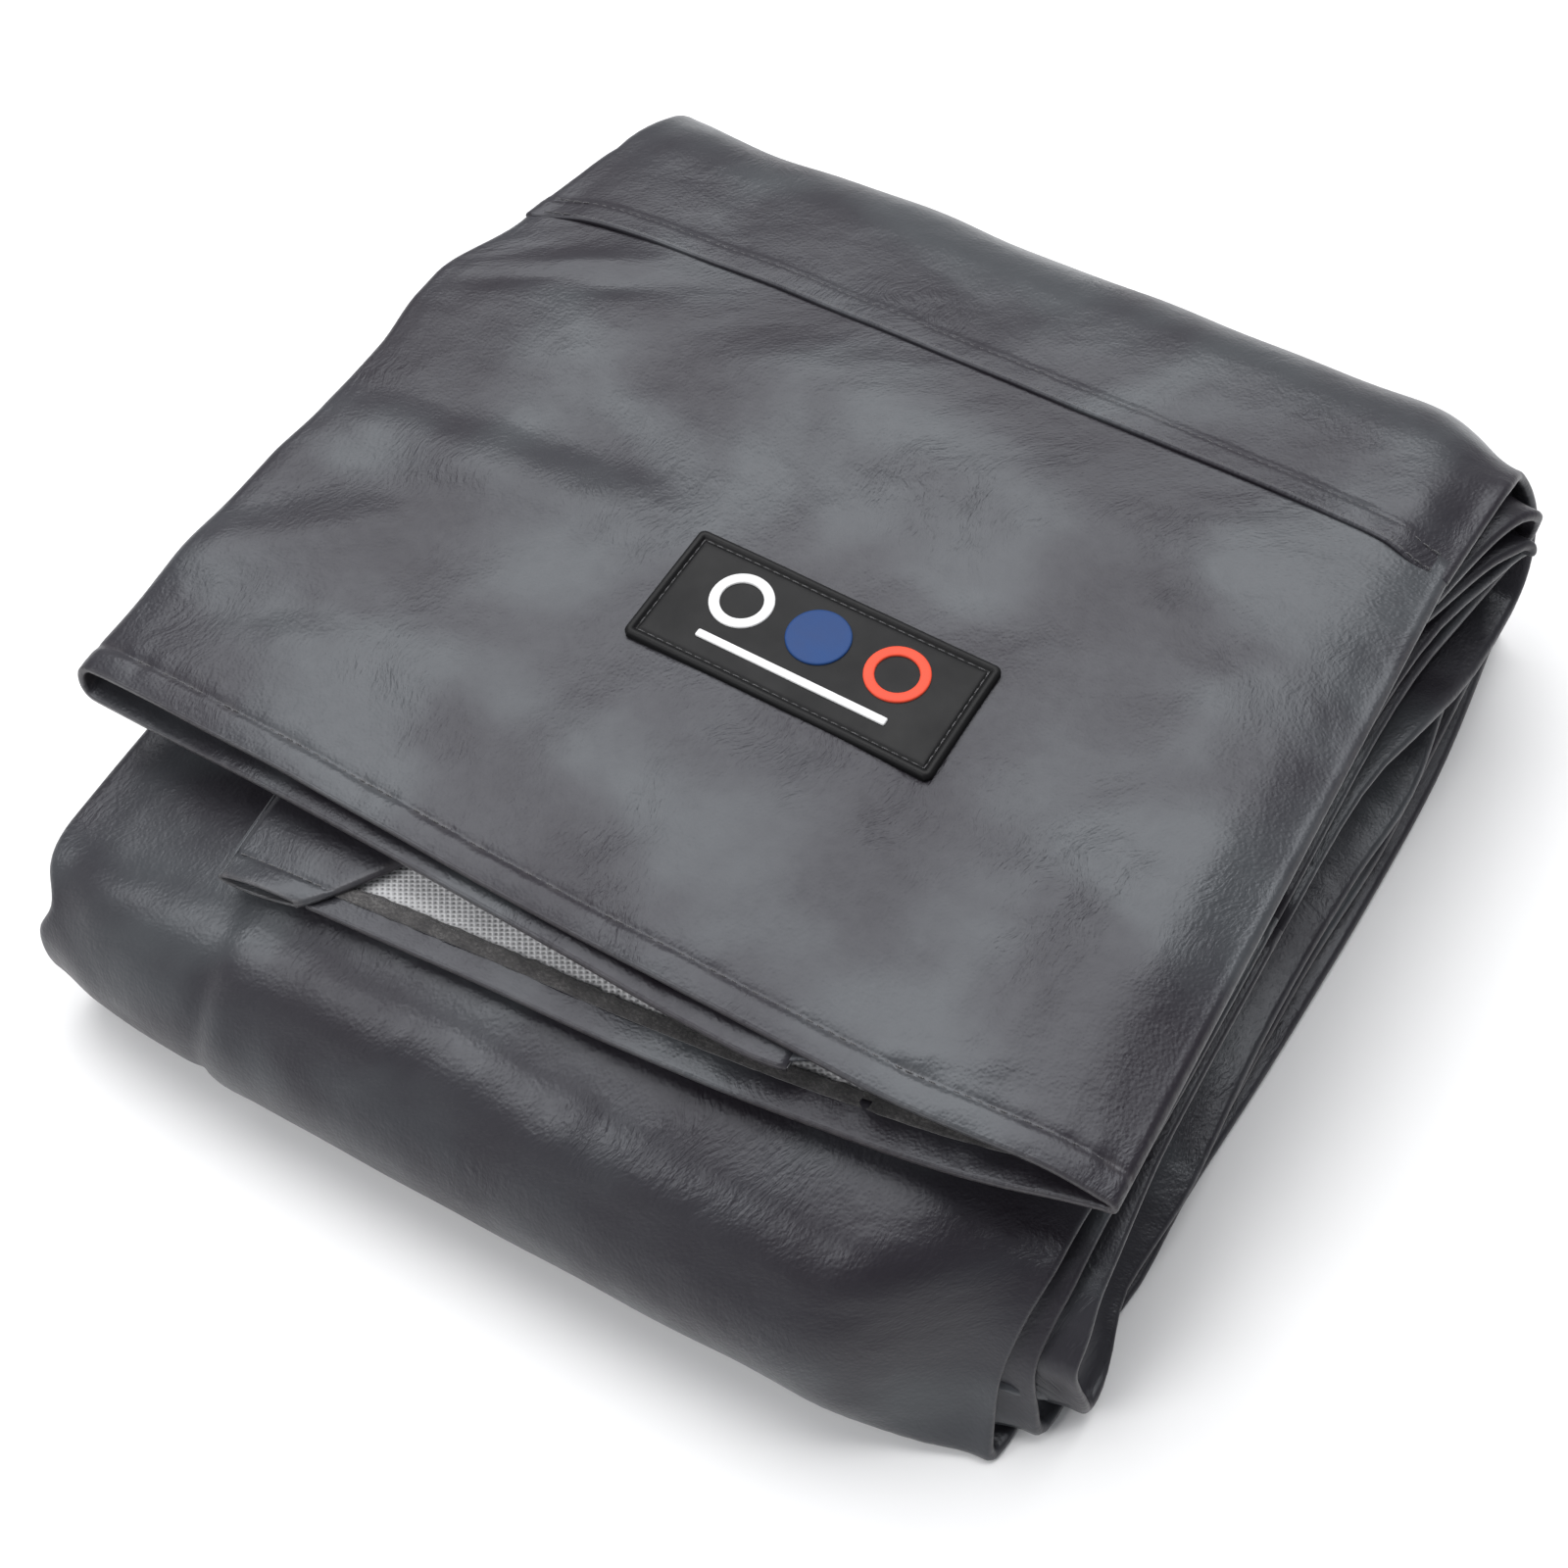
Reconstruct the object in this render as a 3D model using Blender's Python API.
"""A fitted cover of leatherette sheet with a sewn skirt, folded into a flat square bundle.

Three strips lie on each other like the letter Z seen from the side. Each strip is six layers of
sheet, folded in pairs with a round crease along the right side:

    top flap       the skirt in front, with its hem, patch and seam, and the top panel behind it
    middle strip   joined to the top flap round the back and to the base strip round the front
    base strip     lies on the floor, and ends behind in the hem of the opposite skirt

+X runs along the hem to the right, +Y to the back and +Z up. The origin is at the middle of the
bundle's outline, on the floor. All values are in metres.
"""

import math

import bmesh
import bpy
from mathutils import Vector

MM = 0.001

# The sheet and its folds.
SHEET = 0.9 * MM
GAP = 0.3 * MM
TRIM_GAP = 0.1 * MM
LAYERS = 6
PAIRS = LAYERS // 2
INNER_RADIUS = 1.5 * MM
OUTER_RADIUS = 28.9 * MM
LAYER_PITCH = (OUTER_RADIUS - INNER_RADIUS) / (LAYERS - 1)
CREASE_RADIUS = LAYER_PITCH / 2
CREASE_STEPS = 6
BEND_STEPS = 10

# The bundle's layout. The two fold axes run along X.
BUNDLE_WIDTH = 323 * MM
FRONT_AXIS_Y = -132 * MM
BACK_AXIS_Y = 132 * MM
FRONT_AXIS_Z = OUTER_RADIUS + SHEET / 2
BACK_AXIS_Z = FRONT_AXIS_Z + INNER_RADIUS + OUTER_RADIUS
LEFT = -BUNDLE_WIDTH / 2
HEM_Y = -105 * MM
SKIRT_DROP = 203 * MM
SEAM_Y = HEM_Y + SKIRT_DROP
TOP_Z = BACK_AXIS_Z + OUTER_RADIUS
REAR_HEM_Y = 156 * MM
REAR_SEAM_Y = REAR_HEM_Y - SKIRT_DROP

# Left and right ends of the layer pairs, from the inner pair of a bend to its outer pair.
FLAP_WIDTH = 306 * MM
FLAP_RIGHT = LEFT + FLAP_WIDTH
BACK_LEFT = LEFT + 12 * MM
BACK_RIGHT = (LEFT + 317 * MM, LEFT + 314 * MM, LEFT + 310 * MM)
MIDDLE_LEFT = LEFT + 7 * MM
MIDDLE_RIGHT = (LEFT + 307 * MM, LEFT + 311 * MM, LEFT + 315 * MM)
FRONT_LEFT = LEFT + 9 * MM
FRONT_RIGHT = (LEFT + 316 * MM, LEFT + 310 * MM, LEFT + 303 * MM)
BASE_LEFT = LEFT + 8 * MM
BASE_REAR_RIGHT = (LEFT + 320 * MM, LEFT + 322 * MM, LEFT + 323 * MM)

# The front skirt's own layers, counted up from the back axis.
LEFT_LEAF_WIDTH = 223 * MM
RIGHT_LEAF_START = 97 * MM
RIGHT_LEAF_LEAD = 20 * MM
INNER_LEAF_SETBACK = 16 * MM
HEM_DEPTH = 10 * MM
THREAD = 0.5 * MM
HEM_STITCH_INSET = 9 * MM
TAPE_DEPTH = 9 * MM
BACKING = 0.4 * MM
SEAM_LAP = 8 * MM
SEAM_ROWS = {"front": 1 * MM, "rear": 6.3 * MM}
TAB_THICKNESS = 2.4 * MM
TAB_Z = 67.9 * MM

# Ends of the pieces inside the flap, which stay clear of its side folds.
TOP_PANEL_LEFT = LEFT + 8 * MM
INNER_LEAF_ENDS = (LEFT + 14 * MM, FLAP_RIGHT - 16 * MM)
LOWER_FOLD_ENDS = (LEFT + 10 * MM, FLAP_RIGHT - 3 * MM)
RIGHT_BAND_ENDS = (LEFT + RIGHT_LEAF_START + 2 * MM, FLAP_RIGHT - 20 * MM)
TOP_HEM_MARGIN = 14 * MM
TOP_THREAD_MARGIN = 12 * MM
LEFT_HEM_MARGIN = 10 * MM
SEAM_ENDS = (LEFT + 15 * MM, FLAP_RIGHT - 10 * MM)
SEAM_THREAD_MARGIN = 2 * MM

# Outlines seen from above, in millimetres from the flap's front left corner.
TAB_OUTLINE = ((62, -27), (90, -24), (108, 1), (108, 14), (52, 14))
TAB_STITCH_OUTLINE = ((61, -18), (92, -14), (92, -13.5), (61, -17.5))
CORNER_OUTLINE = ((205, -4), (223, -4), (235, 2), (225, 12), (205, 12))

# The moulded patch.
PATCH_SIZE = (94 * MM, 40 * MM)
PATCH_CENTRE = (LEFT + 169.5 * MM, HEM_Y + 98.5 * MM)
PATCH_THICKNESS = 1.2 * MM
PATCH_RIM = 2.6 * MM
PATCH_RIM_INSET = 0.4 * MM
PATCH_RELIEF = 0.6 * MM
PATCH_STITCH_INSET = 4.2 * MM
EMBLEM_RADIUS = 9 * MM
EMBLEM_SPACING = 24 * MM
RING_WIDTH = 3 * MM
BAR_SIZE = (58 * MM, 2.4 * MM)
EMBLEM_ROW_Y = PATCH_CENTRE[1] + 4 * MM
BAR_Y = PATCH_CENTRE[1] - 10 * MM


def layer_radius(layer):
    return INNER_RADIUS + layer * LAYER_PITCH


# ---------------------------------------------------------------- scene and materials


def clear_scene():
    for obj in list(bpy.data.objects):
        bpy.data.objects.remove(obj, do_unlink=True)


def make_material(name, colour, roughness):
    material = bpy.data.materials.new(name)
    material.use_nodes = True
    shader = material.node_tree.nodes["Principled BSDF"]
    shader.inputs["Base Color"].default_value = (*colour, 1)
    shader.inputs["Roughness"].default_value = roughness
    shader.inputs["Metallic"].default_value = 0
    material.diffuse_color = (*colour, 1)
    return material


def make_axis(name, y, z):
    axis = bpy.data.objects.new(name, None)
    axis.location = (0, y, z)
    axis.empty_display_size = 20 * MM
    bpy.context.scene.collection.objects.link(axis)
    return axis


def add_piece(name, points, faces, material, axis):
    """A closed mesh from points in the bundle's frame, parented to its fold axis and placed from it."""
    origin = Vector(axis.location)
    bm = bmesh.new()
    verts = [bm.verts.new(Vector(point) - origin) for point in points]
    for face in faces:
        bm.faces.new([verts[i] for i in face])
    bmesh.ops.recalc_face_normals(bm, faces=bm.faces[:])
    mesh = bpy.data.meshes.new(name)
    bm.to_mesh(mesh)
    bm.free()
    mesh.shade_smooth()
    mesh.set_sharp_from_angle(angle=math.radians(40))
    mesh.materials.append(material)
    piece = bpy.data.objects.new(name, mesh)
    piece.parent = axis
    bpy.context.scene.collection.objects.link(piece)
    return piece


# ---------------------------------------------------------------- sheets seen end-on


def arc(centre_x, centre_h, radius, start, end, steps):
    """Points (x, h) on an arc, in degrees, without its first point."""
    turn = [math.radians(start + (end - start) * i / steps) for i in range(1, steps + 1)]
    return [(centre_x + radius * math.cos(a), centre_h + radius * math.sin(a)) for a in turn]


def pair_line(left, right, pair):
    """The middle line of two layers joined by a crease on the right, as (x, radius from the fold axis).

    A crease on the left leads on to the next pair, and stops a gap short of it.
    """
    low = layer_radius(2 * pair)
    high = layer_radius(2 * pair + 1)
    crease_x = right - CREASE_RADIUS - SHEET / 2
    left_x = left + CREASE_RADIUS + SHEET / 2
    line = [(left_x + GAP if pair else left, low), (crease_x, low)]
    line += arc(crease_x, (low + high) / 2, CREASE_RADIUS, -90, 90, CREASE_STEPS)
    if pair < PAIRS - 1:
        line.append((left_x, high))
        line += arc(left_x, high + CREASE_RADIUS, CREASE_RADIUS, 270, 90, CREASE_STEPS)
    else:
        line.append((left, high))
    return line


def thickened(line, thickness=SHEET):
    """Both sides of a line in the plane, half a thickness away, for a sheet of even thickness."""
    sides = ([], [])
    for i, (x, h) in enumerate(line):
        before = line[max(i - 1, 0)]
        after = line[min(i + 1, len(line) - 1)]
        first = Vector((x - before[0], h - before[1])) if i else None
        second = Vector((after[0] - x, after[1] - h)) if i < len(line) - 1 else None
        first = (first or second).normalized()
        second = (second or first).normalized()
        across = (first + second).normalized().orthogonal()
        reach = thickness / 2 / max(across.dot(second.orthogonal()), 0.5)
        for side, sign in zip(sides, (1, -1)):
            side.append((x + sign * reach * across.x, h + sign * reach * across.y))
    return sides


def loft_sheet(name, rings, material, axis):
    """A closed sheet through rings of points, each ring being one side's points and then the other's."""
    count = len(rings[0][0])
    points = [point for ring in rings for side in ring for point in side]
    loop = list(range(count)) + list(range(2 * count - 1, count - 1, -1))
    faces = []
    for start in range(0, (len(rings) - 1) * 2 * count, 2 * count):
        for a, b in zip(loop, loop[1:] + loop[:1]):
            faces.append([start + a, start + b, start + 2 * count + b, start + 2 * count + a])
    for start in (0, (len(rings) - 1) * 2 * count):
        for i in range(count - 1):
            faces.append([start + i, start + i + 1, start + count + i + 1, start + count + i])
    return add_piece(name, points, faces, material, axis)


def strip_ring(line, y_at, z, sign=1, thickness=SHEET):
    """A sheet's end at y_at(x), with the line's heights counted from z, up or down."""
    sides = thickened(line, thickness)
    return [[(x, y_at(x), z + sign * h) for x, h in side] for side in sides]


def bend_ring(line, y, z, side, turn):
    """A sheet's section turned round a fold axis: 0 is straight up and 180 degrees straight down."""
    sides = thickened(line)
    return [
        [(x, y + side * (GAP + h * math.sin(turn)), z + h * math.cos(turn)) for x, h in points]
        for points in sides
    ]


def strip_pair(name, pair, ends, z, sign, material, axis):
    """Two layers of a strip with their crease. Each end is (y, left, right)."""
    rings = []
    for y, left, right in ends:
        rings.append(strip_ring(pair_line(left, right, pair), lambda _, y=y: y, z, sign))
    return loft_sheet(name, rings, material, axis)


def bend_pair(name, pair, left, right, place, side, material, axis):
    """Two layers of a strip with their crease, going half way round a fold axis at place (y, z)."""
    line = pair_line(left, right, pair)
    turns = [math.pi * i / BEND_STEPS for i in range(BEND_STEPS + 1)]
    rings = [bend_ring(line, *place, side, turn) for turn in turns]
    return loft_sheet(name, rings, material, axis)


def slab(name, outline, z_low, thickness, material, axis):
    """An upright prism on an outline of (x, y) points that runs counter-clockwise."""
    count = len(outline)
    points = [(x, y, z) for z in (z_low, z_low + thickness) for x, y in outline]
    faces = [list(range(count)), list(range(count, 2 * count))]
    for i in range(count):
        j = (i + 1) % count
        faces.append([i, j, count + j, count + i])
    return add_piece(name, points, faces, material, axis)


def rectangle(centre, size):
    half_x, half_y = size[0] / 2, size[1] / 2
    signs = ((-1, -1), (1, -1), (1, 1), (-1, 1))
    return [(centre[0] + i * half_x, centre[1] + j * half_y) for i, j in signs]


def circle(centre, radius, steps=24):
    turns = [2 * math.pi * i / steps for i in range(steps)]
    return [(centre[0] + radius * math.cos(a), centre[1] + radius * math.sin(a)) for a in turns]


def frame(name, outer, inner, z_low, thickness, material, axis):
    """A closed band between two outlines with the same number of points."""
    count = len(outer)
    outlines = [outer, inner]
    points = [(x, y, z) for z in (z_low, z_low + thickness) for line in outlines for x, y in line]
    faces = []
    for i in range(count):
        j = (i + 1) % count
        corners = [i, count + i, 3 * count + i, 2 * count + i]
        nexts = [j, count + j, 3 * count + j, 2 * count + j]
        for k in range(4):
            m = (k + 1) % 4
            faces.append([corners[k], corners[m], nexts[m], nexts[k]])
    return add_piece(name, points, faces, material, axis)


# ---------------------------------------------------------------- the bundle


def make_base_strip(leather, thread, axis):
    """The strip on the floor: the panel under the middle strip, then the rear skirt with its hem."""
    names = ("upper", "centre", "lower")
    reach = (REAR_SEAM_Y - FRONT_AXIS_Y) / (REAR_HEM_Y - FRONT_AXIS_Y)
    for pair, name in enumerate(names):
        seam_right = FRONT_RIGHT[pair] + reach * (BASE_REAR_RIGHT[pair] - FRONT_RIGHT[pair])
        front = (FRONT_AXIS_Y, BASE_LEFT, FRONT_RIGHT[pair])
        seam = (REAR_SEAM_Y - GAP, BASE_LEFT, seam_right)
        seam_behind = (REAR_SEAM_Y, BASE_LEFT, seam_right)
        rear = (REAR_HEM_Y, BASE_LEFT, BASE_REAR_RIGHT[pair])
        strip_pair(f"base_panel_{name}_fold", pair, (front, seam), FRONT_AXIS_Z, -1, leather, axis)
        strip_pair(f"rear_skirt_{name}_fold", pair, (seam_behind, rear), FRONT_AXIS_Z, -1, leather, axis)
    hem_size = (BASE_REAR_RIGHT[0] - BASE_LEFT - 4 * CREASE_RADIUS, HEM_DEPTH)
    hem_x = (BASE_REAR_RIGHT[0] + BASE_LEFT) / 2
    hem_y = REAR_HEM_Y - HEM_DEPTH / 2
    top_layer_z = FRONT_AXIS_Z - layer_radius(0)
    bottom_layer_z = FRONT_AXIS_Z - layer_radius(LAYERS - 1)
    turned = SHEET / 2 + GAP
    hem = rectangle((hem_x, hem_y), hem_size)
    slab("rear_hem_upper", hem, top_layer_z - turned - SHEET, SHEET, leather, axis)
    slab("rear_hem_lower", hem, bottom_layer_z + turned, SHEET, leather, axis)
    line = rectangle((hem_x, REAR_HEM_Y - HEM_STITCH_INSET), (hem_size[0], THREAD))
    slab("rear_hem_thread", line, top_layer_z + SHEET / 2 + TRIM_GAP, THREAD, thread, axis)


def make_middle_strip(leather, axis):
    names = ("upper", "centre", "lower")
    for pair, name in enumerate(names):
        front = (FRONT_AXIS_Y, MIDDLE_LEFT, MIDDLE_RIGHT[pair])
        back = (BACK_AXIS_Y, BACK_LEFT, MIDDLE_RIGHT[pair])
        strip_pair(f"middle_panel_{name}_fold", pair, (front, back), BACK_AXIS_Z, -1, leather, axis)


def make_bends(leather, base_axis, middle_axis):
    for pair, name in enumerate(("inner", "centre", "outer")):
        front = (FRONT_AXIS_Y, FRONT_AXIS_Z)
        back = (BACK_AXIS_Y, BACK_AXIS_Z)
        bend_pair(f"front_bend_{name}", pair, FRONT_LEFT, FRONT_RIGHT[pair], front, -1, leather, base_axis)
        bend_pair(f"back_bend_{name}", pair, BACK_LEFT, BACK_RIGHT[pair], back, 1, leather, middle_axis)


def make_top_panel(leather, axis):
    """The part of the top flap behind the seam."""
    for pair, name in enumerate(("lower", "centre", "upper")):
        ends = ((SEAM_Y, TOP_PANEL_LEFT, FLAP_RIGHT), (BACK_AXIS_Y, BACK_LEFT, FLAP_RIGHT))
        strip_pair(f"top_panel_{name}_fold", pair, ends, BACK_AXIS_Z, 1, leather, axis)


def make_front_skirt(leather, axis):
    """The skirt's layers. The top leaf closes over both sides on to a left leaf and a right leaf."""
    top_h = layer_radius(5)
    left_h = layer_radius(3)
    right_h = layer_radius(2)
    left_radius = (top_h - left_h) / 2
    right_radius = (top_h - right_h) / 2
    left_x = LEFT + left_radius + SHEET / 2
    right_x = FLAP_RIGHT - right_radius - SHEET / 2

    def skirt_sheet(name, line, lead_at):
        y_back = SEAM_Y - GAP
        front = strip_ring(line, lambda x: HEM_Y + lead_at(x), BACK_AXIS_Z)
        back = strip_ring(line, lambda _: y_back, BACK_AXIS_Z)
        loft_sheet(name, (front, back), leather, axis)

    top = [(left_x, left_h)]
    top += arc(left_x, top_h - left_radius, left_radius, 270, 90, CREASE_STEPS)
    top.append((right_x, top_h))
    top += arc(right_x, top_h - right_radius, right_radius, 90, -90, CREASE_STEPS)
    skirt_sheet("front_skirt_top_leaf", top, lambda _: 0)
    left_line = [(left_x + GAP, left_h), (LEFT + LEFT_LEAF_WIDTH, left_h)]
    skirt_sheet("front_skirt_left_leaf", left_line, lambda _: 0)
    right_line = [(LEFT + RIGHT_LEAF_START, right_h), (right_x - GAP, right_h)]
    skirt_sheet("front_skirt_right_leaf", right_line, right_leaf_lead)
    inner_line = [(x, layer_radius(4)) for x in INNER_LEAF_ENDS]
    skirt_sheet("front_skirt_inner_leaf", inner_line, lambda _: INNER_LEAF_SETBACK)
    lower_line = pair_line(*LOWER_FOLD_ENDS, 0)[:-CREASE_STEPS]
    skirt_sheet("front_skirt_lower_fold", lower_line, lambda _: INNER_LEAF_SETBACK)


def right_leaf_lead(x):
    """How far the right leaf's edge stands in front of the hem: most at its free end."""
    share = (FLAP_RIGHT - x) / (FLAP_WIDTH - RIGHT_LEAF_START)
    return -RIGHT_LEAF_LEAD * share


def right_leaf_band(depth_from, depth_to):
    """An outline along the right leaf's slanting edge, between two distances from it."""
    edge = [(x, HEM_Y + right_leaf_lead(x)) for x in RIGHT_BAND_ENDS]
    near = [(x, y + depth_from) for x, y in edge]
    far = [(x, y + depth_to) for x, y in edge]
    return near + far[::-1]


def make_hems(leather, tape, backing, thread, axis):
    turned = SHEET / 2 + GAP
    left_z = BACK_AXIS_Z + layer_radius(3)
    right_z = BACK_AXIS_Z + layer_radius(2)
    hem_y = HEM_Y + HEM_DEPTH / 2
    top_hem = rectangle((LEFT + FLAP_WIDTH / 2, hem_y), (FLAP_WIDTH - 2 * TOP_HEM_MARGIN, HEM_DEPTH))
    slab("front_hem_top_leaf", top_hem, TOP_Z - turned - SHEET, SHEET, leather, axis)
    left_hem_size = (LEFT_LEAF_WIDTH - 2 * LEFT_HEM_MARGIN, HEM_DEPTH)
    left_hem = rectangle((LEFT + LEFT_LEAF_WIDTH / 2, hem_y), left_hem_size)
    slab("front_hem_left_leaf", left_hem, left_z + turned, SHEET, leather, axis)
    right_hem = right_leaf_band(0, HEM_DEPTH)
    slab("front_hem_right_leaf", right_hem, right_z + turned, SHEET, leather, axis)
    tape_line = right_leaf_band(HEM_DEPTH + GAP, HEM_DEPTH + GAP + TAPE_DEPTH)
    slab("hem_tape", tape_line, right_z + turned, SHEET / 2, tape, axis)
    knit = right_leaf_band(HEM_DEPTH + 2 * GAP + TAPE_DEPTH, SKIRT_DROP)
    slab("knitted_backing", knit, right_z + SHEET / 2 + TRIM_GAP, BACKING, backing, axis)
    line_size = (FLAP_WIDTH - 2 * TOP_THREAD_MARGIN, THREAD)
    line = rectangle((LEFT + FLAP_WIDTH / 2, HEM_Y + HEM_STITCH_INSET), line_size)
    slab("front_hem_thread", line, TOP_Z + SHEET / 2 + TRIM_GAP, THREAD, thread, axis)


def make_seam(leather, thread, axis):
    """The top panel's edge, lapped over the skirt and sewn with two rows of thread."""
    lap_z = TOP_Z + SHEET / 2 + TRIM_GAP
    left, right = SEAM_ENDS
    middle = (left + right) / 2
    lap = rectangle((middle, SEAM_Y + SEAM_LAP / 2), (right - left, SEAM_LAP))
    slab("seam_lap", lap, lap_z, SHEET, leather, axis)
    for name, inset in SEAM_ROWS.items():
        line = rectangle((middle, SEAM_Y + inset), (right - left - 2 * SEAM_THREAD_MARGIN, THREAD))
        slab(f"seam_thread_{name}", line, lap_z + SHEET + TRIM_GAP, THREAD, thread, axis)


def flap_outline(points):
    return [(LEFT + x * MM, HEM_Y + y * MM) for x, y in points]


def make_tab(leather, thread, axis):
    """The right leaf's free end, turned back under itself, and the small turned corner of the left leaf."""
    stitch_z = TAB_Z + TAB_THICKNESS + TRIM_GAP
    corner_z = BACK_AXIS_Z + layer_radius(3) - SHEET / 2 - GAP - SHEET
    slab("turned_tab", flap_outline(TAB_OUTLINE), TAB_Z, TAB_THICKNESS, leather, axis)
    slab("turned_tab_thread", flap_outline(TAB_STITCH_OUTLINE), stitch_z, THREAD, thread, axis)
    slab("turned_corner", flap_outline(CORNER_OUTLINE), corner_z, SHEET, leather, axis)


def make_patch(rubber, emblem, thread, axis):
    """A moulded patch with a raised rim and plain raised shapes, sewn round its edge."""
    base_z = TOP_Z + SHEET / 2 + TRIM_GAP
    relief_z = base_z + PATCH_THICKNESS + TRIM_GAP

    def inset(distance):
        return rectangle(PATCH_CENTRE, (PATCH_SIZE[0] - 2 * distance, PATCH_SIZE[1] - 2 * distance))

    slab("patch_base", inset(0), base_z, PATCH_THICKNESS, rubber, axis)
    frame("patch_rim", inset(PATCH_RIM_INSET), inset(PATCH_RIM), relief_z, PATCH_RELIEF, rubber, axis)
    stitches = inset(PATCH_STITCH_INSET), inset(PATCH_STITCH_INSET + THREAD)
    frame("patch_thread", *stitches, relief_z, THREAD / 2, thread, axis)
    places = zip(emblem, (-EMBLEM_SPACING, 0, EMBLEM_SPACING))
    centres = {name: (PATCH_CENTRE[0] + offset, EMBLEM_ROW_Y) for name, offset in places}
    for name in ("white", "red"):
        rings = circle(centres[name], EMBLEM_RADIUS), circle(centres[name], EMBLEM_RADIUS - RING_WIDTH)
        frame(f"emblem_{name}_ring", *rings, relief_z, PATCH_RELIEF, emblem[name], axis)
    disc = circle(centres["blue"], EMBLEM_RADIUS)
    slab("emblem_blue_disc", disc, relief_z, PATCH_RELIEF, emblem["blue"], axis)
    bar = rectangle((PATCH_CENTRE[0], BAR_Y), BAR_SIZE)
    slab("emblem_white_bar", bar, relief_z, PATCH_RELIEF, emblem["white"], axis)


def main():
    clear_scene()
    leather = make_material("leatherette", (0.085, 0.085, 0.095), 0.45)
    backing = make_material("knit_backing", (0.72, 0.72, 0.72), 0.9)
    tape = make_material("hem_tape", (0.3, 0.3, 0.32), 0.95)
    thread = make_material("thread", (0.03, 0.03, 0.035), 0.8)
    rubber = make_material("patch_rubber", (0.022, 0.02, 0.02), 0.5)
    emblem = {
        "white": make_material("emblem_white", (0.9, 0.9, 0.9), 0.5),
        "blue": make_material("emblem_blue", (0.02, 0.09, 0.28), 0.5),
        "red": make_material("emblem_red", (0.85, 0.06, 0.02), 0.5),
    }
    base = make_axis("base_strip", 0, 0)
    middle = make_axis("middle_strip_axis", FRONT_AXIS_Y, FRONT_AXIS_Z)
    flap = make_axis("top_flap_axis", BACK_AXIS_Y, BACK_AXIS_Z)
    make_base_strip(leather, thread, base)
    make_middle_strip(leather, middle)
    make_bends(leather, base, middle)
    make_top_panel(leather, flap)
    make_front_skirt(leather, flap)
    make_hems(leather, tape, backing, thread, flap)
    make_seam(leather, thread, flap)
    make_tab(leather, thread, flap)
    make_patch(rubber, emblem, thread, flap)


main()
